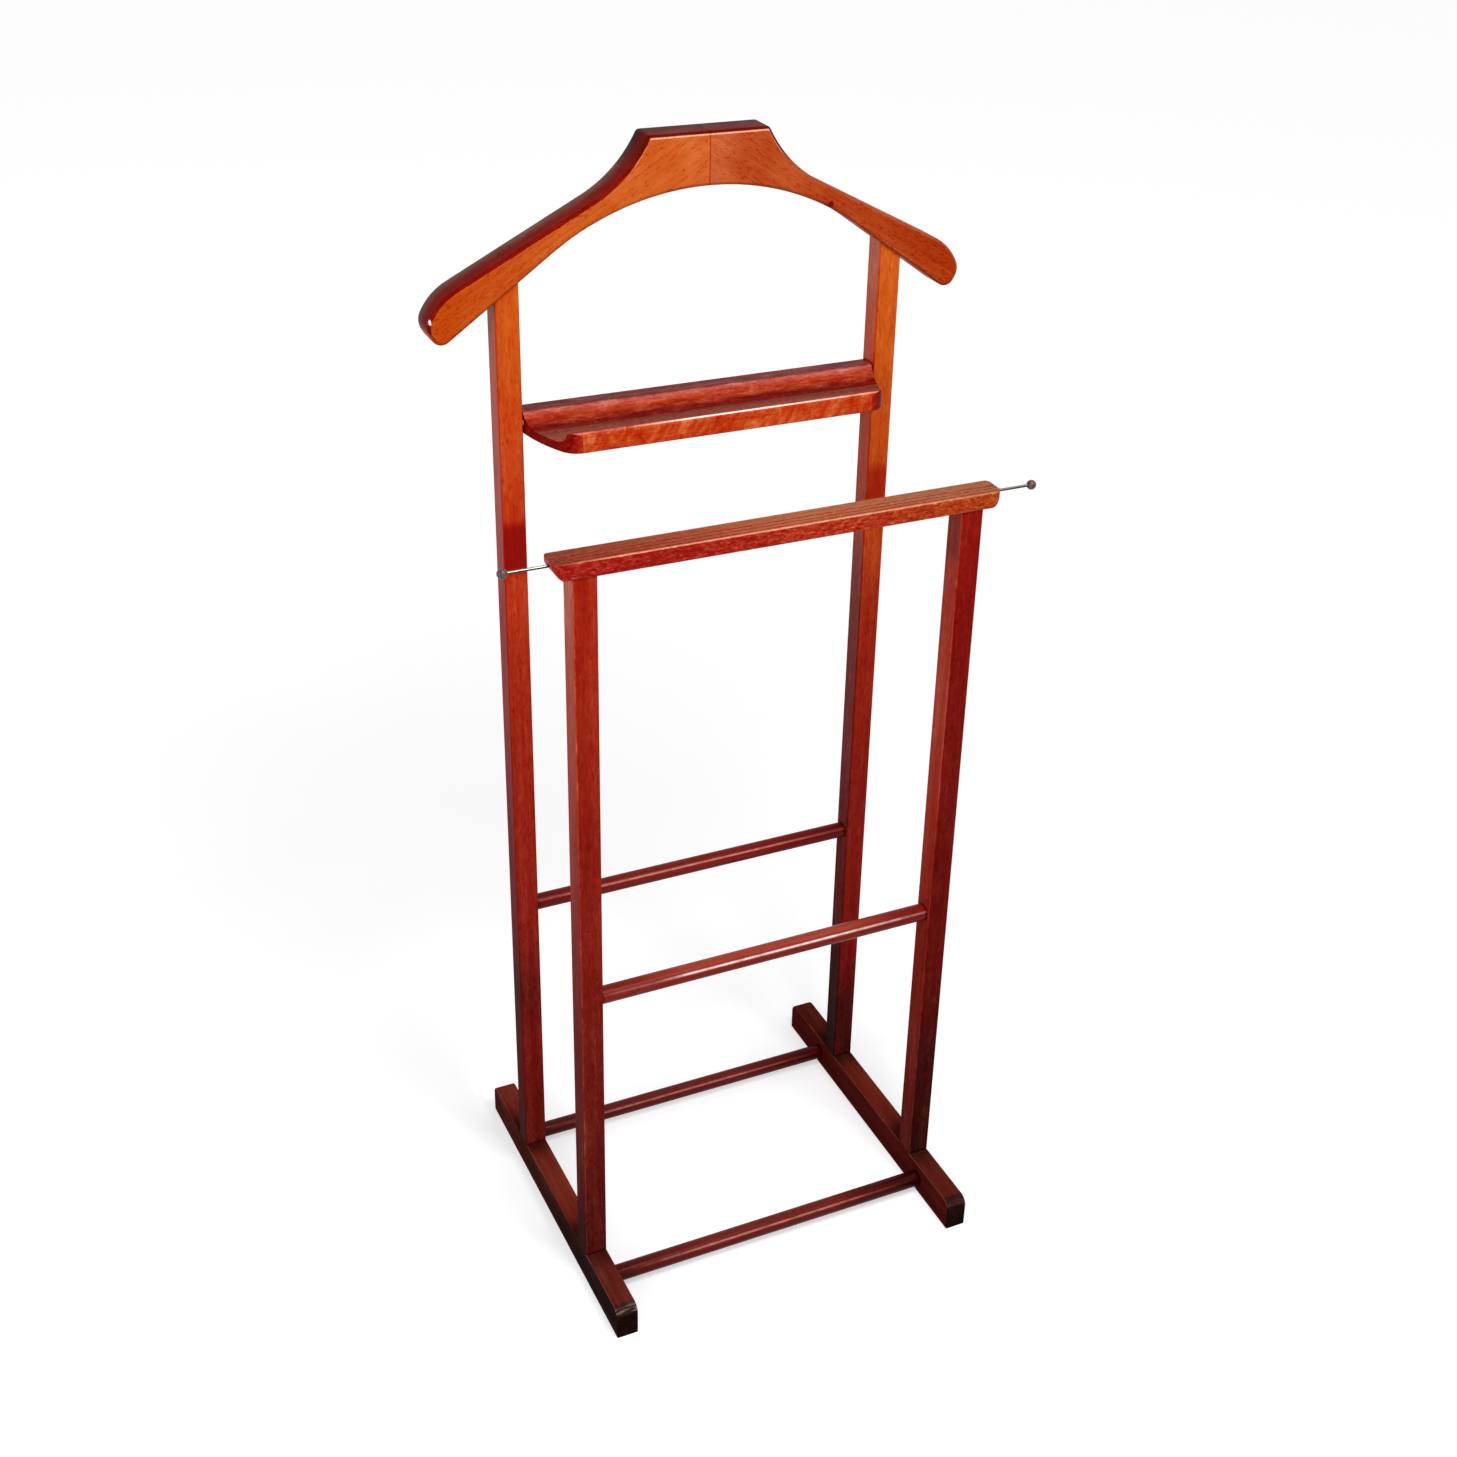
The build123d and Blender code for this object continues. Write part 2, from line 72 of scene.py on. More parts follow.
class Shader:
    """A material's or the world's nodes, with short calls that add one and return its output."""

    def __init__(self, owner):
        owner.use_nodes = True
        self.owner = owner
        self.tree = owner.node_tree
        self.tree.nodes.clear()

    def node(self, kind, **settings):
        made = self.tree.nodes.new(kind)
        for setting, value in settings.items():
            setattr(made, setting, value)
        return made

    def feed(self, socket, value):
        """Links a socket, or sets a plain value."""
        if isinstance(value, bpy.types.NodeSocket):
            self.tree.links.new(value, socket)
        else:
            socket.default_value = value

    def math(self, operation, *values):
        made = self.node("ShaderNodeMath", operation=operation)
        for socket, value in zip(made.inputs, values):
            self.feed(socket, value)
        return made.outputs[0]

    def scaled(self, vector, factors):
        made = self.node("ShaderNodeVectorMath", operation="MULTIPLY")
        self.feed(made.inputs[0], vector)
        made.inputs[1].default_value = factors
        return made.outputs[0]

    def turned(self, vector, rotation, shift=(0.0, 0.0, 0.0)):
        made = self.node("ShaderNodeMapping")
        made.inputs["Location"].default_value = shift
        made.inputs["Rotation"].default_value = rotation
        self.feed(made.inputs["Vector"], vector)
        return made.outputs[0]

    def axes(self, vector):
        made = self.node("ShaderNodeSeparateXYZ")
        self.feed(made.inputs[0], vector)
        return made.outputs

    def noise(self, vector, detail=2.0, roughness=0.5, distortion=0.0):
        made = self.node("ShaderNodeTexNoise")
        self.feed(made.inputs["Vector"], vector)
        made.inputs["Scale"].default_value = 1.0
        made.inputs["Detail"].default_value = detail
        made.inputs["Roughness"].default_value = roughness
        made.inputs["Distortion"].default_value = distortion
        return made.outputs["Fac"]

    def span(self, value, low, high, out_low=0.0, out_high=1.0, smooth=False):
        """A value between low and high, mapped to the output range and held outside it."""
        made = self.node("ShaderNodeMapRange", clamp=True)
        made.interpolation_type = "SMOOTHSTEP" if smooth else "LINEAR"
        for socket, number in zip(made.inputs, (value, low, high, out_low, out_high)):
            self.feed(socket, number)
        return made.outputs[0]

    def varied(self, noise, low, high):
        """A noise's usual swing, mapped to a range."""
        return self.span(noise, NOISE_LOW, NOISE_HIGH, low, high)

    def blend(self, factor, first, second):
        made = self.node("ShaderNodeMix", data_type="RGBA")
        self.feed(made.inputs["Factor"], factor)
        self.feed(made.inputs[MIX_FIRST], first)
        self.feed(made.inputs[MIX_SECOND], second)
        return made.outputs[MIX_RESULT]

    def ramp(self, factor, stops):
        """Colours at places from 0 to 1."""
        made = self.node("ShaderNodeValToRGB")
        elements = made.color_ramp.elements
        while len(elements) < len(stops):
            elements.new(0.5)
        for element, (place, colour) in zip(elements, stops):
            element.position = place
            element.color = linear(*colour)
        self.feed(made.inputs[0], factor)
        return made.outputs[0]

    def place(self):
        return self.node("ShaderNodeTexCoord").outputs["Object"]

    def facing(self):
        return self.axes(self.node("ShaderNodeNewGeometry").outputs["Normal"])

    def seen(self):
        """One on the rays that show a thing itself, its mirror image or its image through glass."""
        path = self.node("ShaderNodeLightPath").outputs
        mirrored = self.math("MAXIMUM", path["Is Camera Ray"], path["Is Glossy Ray"])
        return self.math("MAXIMUM", mirrored, path["Is Transmission Ray"])

    def finish(self, **inputs):
        surface = self.node("ShaderNodeBsdfPrincipled")
        for name, value in inputs.items():
            self.feed(surface.inputs[name.replace("_", " ")], value)
        output = self.node("ShaderNodeOutputMaterial")
        self.feed(output.inputs[0], surface.outputs[0])
        return self.owner


# Turns that lay a piece's grain along the texture's own X
GRAIN_X = (0.0, 0.0, 0.0)
GRAIN_Y = (0.0, 0.0, math.radians(-90))
GRAIN_Z = (0.0, math.radians(90), 0.0)
HANGER_GRAIN_DEGREES = 31.0
# Each piece's seed, and how far its texture moves in metres for a seed of one
HANGER_SEED, REAR_POST_SEED, FRONT_POST_SEED, RUNNER_SEED = 2.0, 7.0, 11.0, 15.0
TRAY_SEED, BAR_SEED, PIN_SEED, FIRST_RAIL_SEED = 5.0, 9.0, 3.0, 21
SEED_SHIFT = (1.7, 0.37, 0.73)
PORE_FADE = 0.1
RELIEF_STRENGTH, RELIEF_DEPTH = 0.25, 0.15 * MM
# How far a normal leans to one side where its face starts to count as that side, and where it does in full
SIDE_FROM, SIDE_FULL = 0.6, 0.9


class Wood(Shader):
    """Stained and varnished beech: the colour is the stain to the power of its local density."""

    def __init__(self, name, grain, seed):
        super().__init__(bpy.data.materials.new(name))
        self.object_place = self.place()
        shift = tuple(seed * step for step in SEED_SHIFT)
        self.grain_place = self.turned(self.object_place, grain, shift)

    def along_grain(self, along, across, detail=2.0, roughness=0.5, distortion=0.0):
        """Noise stretched along the grain; both numbers are features per metre."""
        stretched = self.scaled(self.grain_place, (along, across, across))
        return self.noise(stretched, detail, roughness, distortion)

    def fibres(self):
        return self.along_grain(28, 1500, detail=3.0, roughness=0.6)

    def lines(self):
        """Grain lines a couple of millimetres apart."""
        return self.along_grain(9, 480, detail=2.0, roughness=0.6, distortion=0.3)

    def streaks(self):
        return self.along_grain(2.2, 95, detail=3.0, roughness=0.55, distortion=0.4)

    def pores(self, share=0.62):
        """Short dark dashes, one where the fine noise stands above the share."""
        dashes = self.along_grain(190, 1150, detail=1.0, roughness=0.4)
        return self.span(dashes, share, share + PORE_FADE)

    def figure(self, along, across):
        """Cloudy patches."""
        return self.along_grain(along, across, detail=2.0, roughness=0.5, distortion=0.8)

    def swing(self, noise):
        """A noise's distance from its middle."""
        return self.math("SUBTRACT", noise, NOISE_MIDDLE)

    def leans(self, component, sign):
        """One where a component of the normal leans to its plus or minus side."""
        return self.span(component, SIDE_FROM * sign, SIDE_FULL * sign)

    def density(self, noises, marks):
        """One, plus each noise's swing and each mark, times their weights."""
        total = 1.0
        for noise, weight in noises:
            total = self.math("MULTIPLY_ADD", self.swing(noise), weight, total)
        for mark, weight in marks:
            total = self.math("MULTIPLY_ADD", mark, weight, total)
        return total

    def stained(self, stain, density):
        made = self.node("ShaderNodeGamma")
        self.feed(made.inputs[0], stain)
        self.feed(made.inputs[1], density)
        return made.outputs[0]

    def by_height(self, stops):
        """Colours at heights above the floor, in metres."""
        top = stops[-1][0]
        height = self.math("DIVIDE", self.axes(self.object_place)[2], top)
        return self.ramp(height, [(place / top, colour) for place, colour in stops])

    def band(self, value, low, high, fade):
        """One between low and high, fading out over the given width on both sides."""
        rise = self.span(value, low - fade, low, smooth=True)
        return self.math("MULTIPLY", rise, self.span(value, high, high + fade, 1.0, 0.0, smooth=True))

    def both(self, first, second):
        return self.math("MULTIPLY", first, second)

    def relief(self, height):
        bump = self.node("ShaderNodeBump")
        bump.inputs["Strength"].default_value = RELIEF_STRENGTH
        bump.inputs["Distance"].default_value = RELIEF_DEPTH
        self.feed(bump.inputs["Height"], height)
        return bump.outputs[0]

    def varnish(self, stain, density, roughness, sheen, fibres, pores):
        """The finished wood, with raised fibres and sunk pores."""
        return self.finish(
            Base_Color=self.stained(stain, density),
            Roughness=roughness,
            Normal=self.relief(self.math("SUBTRACT", fibres, pores)),
            Specular_IOR_Level=sheen,
        )


# Post stains by height above the floor, in metres; their darkening towards the floor is partly painted
# shade where the light falls off
LEFT_REAR_POST_STAIN_AND_SHADE = [
    (0.0, (104, 18, 14)),
    (0.16, (128, 23, 15)),
    (0.22, (104, 18, 11)),
    (0.28, (140, 27, 16)),
    (0.52, (172, 36, 15)),
    (0.74, (190, 58, 15)),
    (0.92, (200, 84, 17)),
]
RIGHT_REAR_POST_STAIN_AND_SHADE = [
    (0.0, (66, 13, 11)),
    (0.1, (78, 15, 12)),
    (0.17, (136, 24, 16)),
    (0.36, (147, 30, 16)),
    (0.52, (166, 38, 14)),
    (0.74, (191, 74, 17)),
    (0.92, (200, 88, 18)),
]
LEFT_FRONT_POST_STAIN_AND_SHADE = [
    (0.0, (74, 18, 13)),
    (0.1, (94, 21, 14)),
    (0.3, (120, 25, 14)),
    (0.55, (148, 30, 12)),
    (0.73, (162, 34, 12)),
]
RIGHT_FRONT_POST_STAIN_AND_SHADE = [
    (0.0, (44, 11, 8)),
    (0.16, (68, 14, 9)),
    (0.24, (100, 16, 10)),
    (0.55, (120, 14, 8)),
    (0.73, (142, 18, 8)),
]
# The right posts' left faces: stain with painted light and shade on that side, and painted shade just
# under the bar on the front one
RIGHT_FRONT_INNER_STAIN_AND_LIGHT = [
    (0.04, (90, 25, 19)),
    (0.12, (118, 33, 25)),
    (0.22, (137, 39, 29)),
    (0.3, (141, 36, 27)),
    (0.42, (165, 47, 31)),
    (0.56, (185, 67, 48)),
    (0.67, (177, 58, 40)),
    (0.685, (144, 45, 35)),
    (0.73, (156, 48, 37)),
]
RIGHT_REAR_INNER_STAIN_AND_LIGHT = [
    (0.05, (35, 8, 5)),
    (0.1, (40, 8, 6)),
    (0.17, (65, 15, 13)),
    (0.21, (98, 31, 27)),
    (0.36, (110, 30, 25)),
    (0.48, (122, 41, 33)),
    (0.6, (131, 45, 35)),
    (0.7, (188, 66, 44)),
    (0.82, (200, 76, 46)),
    (0.89, (200, 101, 74)),
]
RUNNER_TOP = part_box("runner_left")[1][2]
TRAY_LOW, TRAY_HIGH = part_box("tray")
TRAY_JOINT_FADE = 3 * MM
# Two limits and a fade: heights of the tray's painted shadow below it, and normals on the rounded edge
POST_SHADE = (664 * MM, 694 * MM, 13 * MM)
POST_EDGE = (-0.92, -0.4, 0.06)
# Heights over which the dark line at the runner ends, and the left face's darker foot begins
POST_FOOT = (RUNNER_TOP + 0.6 * MM, RUNNER_TOP + 2.4 * MM)
POST_DARKER_FOOT = (RUNNER_TOP + 70 * MM, RUNNER_TOP + 15 * MM)
POST_FOOT_DENSITY = 0.5
# Two heights and the roughness at each
POST_POLISH = (0.05, 0.72, 0.85, 0.34)


class PostLook:
    """One post's stain by height, its sheen, and where the stain lies denser.

    The left face has two heights, each with a density, or a stain of its own, painting light and shade on
    that side. The others are for the rounded edge, the painted shadow below the tray, the painted shade in
    the joint with the tray and the left face's darker foot.
    """

    def __init__(self, stain, sheen, edge, left=None, left_stain_and_light=None, shade=0.0, joint=0.0, foot_darkening=0.0):
        self.stain, self.sheen, self.edge = stain, sheen, edge
        self.left = left or ((0.0, 0.0), (1.0, 0.0))
        self.left_stain_and_light = left_stain_and_light or stain
        self.shade, self.joint, self.foot_darkening = shade, joint, foot_darkening


POST_LOOKS = {
    "rear_post_left": PostLook(
        LEFT_REAR_POST_STAIN_AND_SHADE,
        sheen=0.075,
        edge=0.1,
        left=((0.45, 0.6), (0.85, 0.22)),
        shade=0.8,
        joint=1.0,
        foot_darkening=0.35,
    ),
    "rear_post_right": PostLook(
        RIGHT_REAR_POST_STAIN_AND_SHADE,
        sheen=0.065,
        edge=0.5,
        left_stain_and_light=RIGHT_REAR_INNER_STAIN_AND_LIGHT,
        shade=0.45,
        joint=1.0,
    ),
    "front_post_left": PostLook(
        LEFT_FRONT_POST_STAIN_AND_SHADE,
        sheen=0.055,
        edge=-0.25,
        left=((0.3, 0.16), (0.74, -0.38)),
        foot_darkening=0.35,
    ),
    "front_post_right": PostLook(
        RIGHT_FRONT_POST_STAIN_AND_SHADE,
        sheen=0.04,
        edge=-0.18,
        left_stain_and_light=RIGHT_FRONT_INNER_STAIN_AND_LIGHT,
    ),
}


def post_wood(node, side, seed):
    """Redder and duller towards the floor, its darkening partly painted shade, with a dark line at the
    runner.
    """
    look = POST_LOOKS[node]
    wood = Wood(node, GRAIN_Z, seed)
    fibres, lines, streaks, pores = wood.fibres(), wood.lines(), wood.streaks(), wood.pores()
    figure, mottle = wood.figure(9.0, 30.0), wood.figure(90.0, 300.0)
    height = wood.axes(wood.object_place)[2]
    normal = wood.facing()
    leftward, forward = wood.leans(normal[0], -1), wood.leans(normal[1], -1)
    inward = wood.leans(normal[0], -side)
    # The left face's own colour paints the light and shade on that side
    stain = wood.blend(leftward, wood.by_height(look.stain), wood.by_height(look.left_stain_and_light))
    # Denser or thinner on the left face by height: painted light and shade on that side
    (low, low_density), (high, high_density) = look.left
    left = wood.both(leftward, wood.span(height, low, high, low_density, high_density))
    # Painted shade in the gap between the tray's end and the post's inner face
    joint = wood.both(inward, wood.band(height, TRAY_LOW[2], TRAY_HIGH[2], TRAY_JOINT_FADE))
    edge = wood.both(wood.band(normal[0], *POST_EDGE), wood.band(normal[1], *POST_EDGE))
    edge = wood.both(edge, wood.span(wood.along_grain(70, 500), 0.4, 0.6, 0.4, 1.0))
    # The tray's painted shadow on the front face
    shade = wood.both(forward, wood.band(height, *POST_SHADE))
    foot = wood.span(height, *POST_FOOT, 1.0, 0.0)
    darker_foot = wood.both(leftward, wood.span(height, *POST_DARKER_FOOT, smooth=True))
    density = wood.density(
        noises=[(fibres, 0.3), (lines, 0.3), (streaks, 0.45), (figure, 0.4), (mottle, 0.5)],
        marks=[
            (pores, 0.3),
            (left, 1.0),
            (edge, look.edge),
            (shade, look.shade),
            (joint, look.joint),
            (foot, POST_FOOT_DENSITY),
            (darker_foot, look.foot_darkening),
        ],
    )
    polish = wood.span(height, *POST_POLISH)
    roughness = wood.math("ADD", polish, wood.varied(figure, -0.05, 0.06))
    return wood.varnish(stain, density, roughness, look.sheen, fibres, pores)


HANGER_LOW, HANGER_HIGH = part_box("hanger_left_half")
# Height of the neck's painted edge highlight, with its fade
NECK_FROM, NECK_FADE = HANGER_HIGH[2] - 26 * MM, 8 * MM
# Distances from the middle where the face changes, its painted highlight at the joint grows, the seam ends
# and the arm begins
FACE_REACH = (0.08, 0.235)
JOINT_HIGHLIGHT_REACH = (32 * MM, 6 * MM)
SEAM_REACH = (0.2 * MM, 0.7 * MM)
NECK_REACH = (0.056, 0.078)
# Depths between which the front face's marks end, and the rim turns from red to a painted grey sheen
FACE_DEPTH = (HANGER_LOW[1] + 2.5 * MM, HANGER_LOW[1] + 3.5 * MM)
GREY_SHEEN_DEPTH = (HANGER_LOW[1] + 10 * MM, HANGER_HIGH[1] - 1 * MM)
# Marks on the face, with half their sizes, in X and Z
WHITE_SPOT_PLACE = (-235.0 * MM, 883.0 * MM)
WHITE_SPOT_SIZE = (1.3 * MM, 2.8 * MM)
KNOT_PLACE = (110.0 * MM, 945.0 * MM)
KNOT_SIZE = (3.2 * MM, 4.2 * MM)


class HangerLook:
    """Colours of one half: face near the neck and at the tip, arm's rim in front and behind, grey with
    painted sheen at the back.

    The joint highlight is how pale a painted highlight makes the face at the joint of the halves.
    """

    def __init__(self, near, far, rim, grey_sheen, joint_highlight):
        self.near, self.far, self.rim, self.grey_sheen = (linear(*c) for c in (near, far, rim, grey_sheen))
        self.joint_highlight = joint_highlight


HANGER_LOOKS = {
    -1: HangerLook((196, 91, 34), (185, 69, 12), (120, 14, 4), (104, 78, 67), joint_highlight=0.18),
    1: HangerLook((174, 72, 30), (160, 47, 7), (168, 74, 47), (134, 86, 74), joint_highlight=0.4),
}
HANGER_JOINT_HIGHLIGHT = linear(212, 118, 74)
NECK_RIM = linear(102, 11, 3)
NECK_GREY_SHEEN = linear(58, 46, 38)
NECK_EDGE_HIGHLIGHT = linear(246, 180, 146)
HANGER_BORDER = linear(232, 158, 118)
WHITE_SPOT = linear(240, 226, 218)
HANGER_PORE_SHARE = 0.6
HANGER_SHEEN = 0.01


def spot(wood, centre, size, ragged):
    """One inside an oval patch of the X and Z plane, fading out at its ragged edge."""
    place = wood.axes(wood.object_place)
    total = ragged
    for axis, middle, half in ((place[0], centre[0], size[0]), (place[2], centre[1], size[1])):
        offset = wood.math("DIVIDE", wood.math("SUBTRACT", axis, middle), half)
        total = wood.math("ADD", total, wood.both(offset, offset))
    return wood.span(total, 0.8, 1.3, 1.0, 0.0)


def hanger_wood(node, side, seed):
    """Orange faces with a ragged border to the dark red rim, which turns grey at the back with painted
    sheen; painted highlights on the neck's edge and at the joint.
    """
    look = HANGER_LOOKS[side]
    wood = Wood(node, (0.0, math.radians(-side * HANGER_GRAIN_DEGREES), 0.0), seed)
    fibres, lines, streaks = wood.fibres(), wood.lines(), wood.streaks()
    pores = wood.pores(HANGER_PORE_SHARE)
    figure = wood.figure(22.0, 30.0)
    across, back, height = wood.axes(wood.object_place)
    reach = wood.math("ABSOLUTE", across)
    normal = wood.facing()
    ragged = wood.along_grain(420, 700, detail=3.0)
    face = wood.blend(wood.span(reach, *FACE_REACH), look.near, look.far)
    # A painted highlight on the face at the joint of the halves
    at_joint = wood.span(reach, *JOINT_HIGHLIGHT_REACH, smooth=True)
    face = wood.blend(wood.both(at_joint, look.joint_highlight), face, HANGER_JOINT_HIGHLIGHT)
    flatness = wood.math("MULTIPLY_ADD", ragged, 0.05, wood.math("ABSOLUTE", normal[1]))
    rim = wood.both(wood.span(flatness, 0.985, 1.0, 1.0, 0.0), wood.span(normal[2], -0.35, -0.15))
    # The rim's back turns grey: painted sheen
    grey_sheen_share = wood.span(back, *GREY_SHEEN_DEPTH, smooth=True)
    on_arm = wood.span(reach, *NECK_REACH, smooth=True)
    front_rim, back_rim = wood.blend(on_arm, NECK_RIM, look.rim), wood.blend(on_arm, NECK_GREY_SHEEN, look.grey_sheen)
    stain = wood.blend(rim, face, wood.blend(grey_sheen_share, front_rim, back_rim))
    border = wood.both(wood.band(rim, 0.3, 0.7, 0.2), wood.span(ragged, 0.56, 0.64))
    stain = wood.blend(wood.both(border, 0.6), stain, HANGER_BORDER)
    # A painted highlight along the neck's top front edge
    edge = wood.both(wood.span(normal[2], 0.06, 0.16), wood.span(normal[2], 0.5, 0.34))
    level = wood.span(wood.math("ABSOLUTE", normal[0]), 0.3, 0.15)
    on_neck = wood.both(wood.both(edge, level), wood.span(height, NECK_FROM, NECK_FROM + NECK_FADE))
    stain = wood.blend(wood.both(on_neck, 0.85), stain, NECK_EDGE_HIGHLIGHT)
    in_front = wood.span(back, *FACE_DEPTH, 1.0, 0.0)
    # A small white spot near the left tip
    white_spot = wood.both(spot(wood, WHITE_SPOT_PLACE, WHITE_SPOT_SIZE, ragged), in_front)
    stain = wood.blend(white_spot, stain, WHITE_SPOT)
    knot = wood.both(spot(wood, KNOT_PLACE, KNOT_SIZE, wood.both(ragged, 1.4)), in_front)
    seam = wood.span(reach, *SEAM_REACH, 1.0, 0.0)
    density = wood.density(
        noises=[(fibres, 0.3), (lines, 0.35), (streaks, 0.24), (figure, 0.4)],
        marks=[(pores, 0.32), (knot, 0.9), (seam, 0.6)],
    )
    return wood.varnish(stain, density, wood.varied(figure, 0.3, 0.42), HANGER_SHEEN, fibres, pores)


# From front to back: the lip's end, the front of the floor, the cove and the wall
TRAY_LIP_END, TRAY_LIP_FADE = TRAY_LOW[1] + 6.0 * MM, 1.0 * MM
TRAY_FLOOR_FROM = TRAY_LOW[1] + 20 * MM
TRAY_COVE_FROM, TRAY_COVE_FADE = TRAY_LOW[1] + 39 * MM, 1.5 * MM
TRAY_WALL_DEPTH = (TRAY_LOW[1] + 57.7 * MM, TRAY_LOW[1] + 58.9 * MM)
TRAY_WALL_HEIGHT = (TRAY_HIGH[2] - 1.0 * MM, TRAY_HIGH[2] - 0.3 * MM)
TRAY_COVE_HEIGHT = (TRAY_HIGH[2] - 11.0 * MM, TRAY_HIGH[2])
# Cove colours from the floor to the wall's top: stain with painted shade at the foot and a painted pink
# sheen higher up
TRAY_COVE_STAIN_AND_LIGHT = [
    (0.0, (114, 15, 6)),
    (0.1, (114, 16, 7)),
    (0.24, (148, 46, 25)),
    (0.45, (164, 53, 26)),
    (0.65, (174, 65, 45)),
    (0.85, (184, 88, 74)),
    (1.0, (180, 88, 76)),
]
# The floor's brown is painted shade, paler at the front with painted sheen, and the wall's top a painted
# reflection
TRAY_FLOOR_BACK, TRAY_FLOOR_FRONT = linear(120, 51, 38), linear(142, 70, 54)
TRAY_WALL_TOP = linear(112, 43, 37)
TRAY_LIP, TRAY_LIP_TOP = linear(187, 59, 19), linear(156, 40, 27)
# The painted highlight along the lip's top, from the tray's left end to its right end
TRAY_LIP_HIGHLIGHT = [
    (0.05, (218, 116, 88)),
    (0.18, (182, 72, 54)),
    (0.28, (218, 144, 122)),
    (0.4, (253, 236, 228)),
    (0.6, (253, 232, 224)),
    (0.75, (246, 188, 174)),
    (0.95, (208, 112, 92)),
]
TRAY_CREASE = linear(212, 116, 66)
TRAY_ROUNDING, TRAY_END = linear(172, 44, 18), linear(130, 12, 6)
FLAME_SLANT = math.radians(-30)
FLAMES_PER_METRE = (95, 20, 34)
TRAY_SHEEN = 0.02


def tray_wood():
    """Figured orange lip with a painted highlight along its top, mottled red cove, painted shade and sheen
    on the cove, floor and wall top, and deep red ends.
    """
    wood = Wood("tray", GRAIN_X, TRAY_SEED)
    fibres, lines, pores = wood.fibres(), wood.lines(), wood.pores()
    slanted = wood.turned(wood.object_place, (0.0, FLAME_SLANT, 0.0))
    flames = wood.noise(wood.scaled(slanted, FLAMES_PER_METRE), detail=5.0, roughness=0.65, distortion=0.8)
    mottle = wood.along_grain(38, 130, detail=4.0, roughness=0.65, distortion=0.6)
    speckle = wood.along_grain(260, 520, detail=3.0, roughness=0.6)
    across, back, height = wood.axes(wood.object_place)
    normal = wood.facing()
    # The cove, floor and wall top carry painted shade and sheen over the stain
    cove = wood.ramp(wood.span(height, *TRAY_COVE_HEIGHT), TRAY_COVE_STAIN_AND_LIGHT)
    forward = wood.span(back, TRAY_COVE_FROM, TRAY_FLOOR_FROM)
    floor = wood.blend(forward, TRAY_FLOOR_BACK, TRAY_FLOOR_FRONT)
    on_floor = wood.span(back, TRAY_COVE_FROM + TRAY_COVE_FADE, TRAY_COVE_FROM - TRAY_COVE_FADE)
    inside = wood.blend(on_floor, cove, floor)
    wall_top = wood.both(wood.span(height, *TRAY_WALL_HEIGHT), wood.span(back, *TRAY_WALL_DEPTH))
    inside = wood.blend(wall_top, inside, TRAY_WALL_TOP)
    on_lip = wood.span(back, TRAY_LIP_END, TRAY_LIP_END + TRAY_LIP_FADE, 1.0, 0.0)
    upward = wood.both(wood.span(normal[2], 0.66, 0.9), wood.span(normal[1], 0.25, 0.0))
    stain = wood.blend(on_lip, inside, wood.blend(upward, TRAY_LIP, TRAY_LIP_TOP))
    sideways = wood.math("ABSOLUTE", normal[0])
    ends = wood.blend(wood.span(sideways, 0.08, 0.5), TRAY_ROUNDING, TRAY_END)
    stain = wood.blend(wood.span(sideways, 0.03, 0.07), stain, ends)
    crease = wood.both(wood.band(sideways, 0.03, 0.06, 0.015), on_lip)
    stain = wood.blend(wood.both(crease, 0.6), stain, TRAY_CREASE)
    along = wood.span(across, TRAY_LOW[0], TRAY_HIGH[0])
    # Painted highlight along the crown of the lip
    crown = wood.both(wood.band(normal[1], -0.58, -0.12, 0.13), wood.span(normal[2], 0.5, 0.75))
    stain = wood.blend(wood.both(on_lip, crown), stain, wood.ramp(along, TRAY_LIP_HIGHLIGHT))
    on_cove = wood.math("SUBTRACT", 1.0, wood.math("MAXIMUM", on_lip, on_floor))
    lip_flames, cove_mottle = wood.both(wood.swing(flames), on_lip), wood.both(wood.swing(mottle), on_cove)
    density = wood.density(
        noises=[(fibres, 0.3), (lines, 0.4), (speckle, 0.7)],
        marks=[(lip_flames, 2.0), (cove_mottle, 1.6), (pores, 0.25)],
    )
    return wood.varnish(stain, density, wood.varied(flames, 0.24, 0.36), TRAY_SHEEN, fibres, pores)


BAR_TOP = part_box("trouser_bar")[1][2]
BAR_REACH = 0.19
BAR_GROOVE_HEIGHT = (BAR_TOP - 0.5 * MM, BAR_TOP - 0.15 * MM)
# Painted shade in the grooves, and a painted highlight along the rounded front edge
BAR_GROOVE, BAR_EDGE_HIGHLIGHT = linear(96, 40, 26), linear(226, 152, 122)
BAR_PORE_SHARE = 0.56
BAR_SHEEN = 0.07
# Bar stains from its left end to its right end
BAR_SIDE_STAIN = [
    (0.0, (164, 33, 20)),
    (0.3, (158, 30, 16)),
    (0.55, (174, 48, 24)),
    (1.0, (172, 66, 18)),
]
BAR_TOP_STAIN = [
    (0.0, (132, 58, 37)),
    (0.3, (158, 76, 48)),
    (0.55, (172, 98, 65)),
    (1.0, (156, 90, 58)),
]


